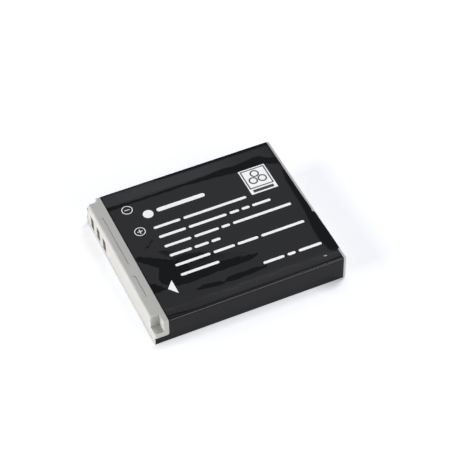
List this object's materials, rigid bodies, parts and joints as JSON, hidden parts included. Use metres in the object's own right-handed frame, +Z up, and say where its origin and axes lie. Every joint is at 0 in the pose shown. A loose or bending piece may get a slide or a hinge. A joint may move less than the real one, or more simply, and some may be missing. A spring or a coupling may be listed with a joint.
{
  "type": "camera battery",
  "caption": "Flat rechargeable camera battery with a grey contact cap, slotted contact end, corner key notches and a glossy black label wrap.",
  "frame": {"origin": "centre of the pack's outline on its back face", "axes": "+X from the contact end to the rear end, +Y towards the side with the contact slots, +Z up out of the label face"},
  "size_m": [0.0404, 0.0354, 0.0059],
  "materials": {
    "grey_plastic": "fine satin moulded",
    "black_film": "glossy film",
    "can_aluminium": "drawn",
    "gasket_plastic": "matte",
    "nickel": "rolled",
    "fish_paper": "matte",
    "board_laminate": "solder mask",
    "gold_plate": "gold plated",
    "chip_body": "moulded epoxy",
    "chip_ceramic": "sintered"
  },
  "bodies": {
    "root": {"contact_cap": "grey_plastic", "rear_frame": "grey_plastic", "label_wrap": "black_film", "cell_can": "can_aluminium", "terminal_gasket": "gasket_plastic", "negative_terminal": "nickel", "fill_plug": "can_aluminium", "lid_insulator": "fish_paper", "positive_tab": "nickel", "negative_tab": "nickel", "thermal_cutoff": "chip_body", "cutoff_tab": "nickel", "protection_board": "board_laminate", "contact_plate_negative": "gold_plate", "contact_plate_sense": "gold_plate", "contact_plate_positive": "gold_plate", "protection_ic": "chip_body", "switch_mosfet": "chip_body", "chip_resistors": "chip_body", "chip_capacitors": "chip_ceramic", "thermistor": "chip_ceramic", "rear_pad": "fish_paper"}
  },
  "joints": []
}
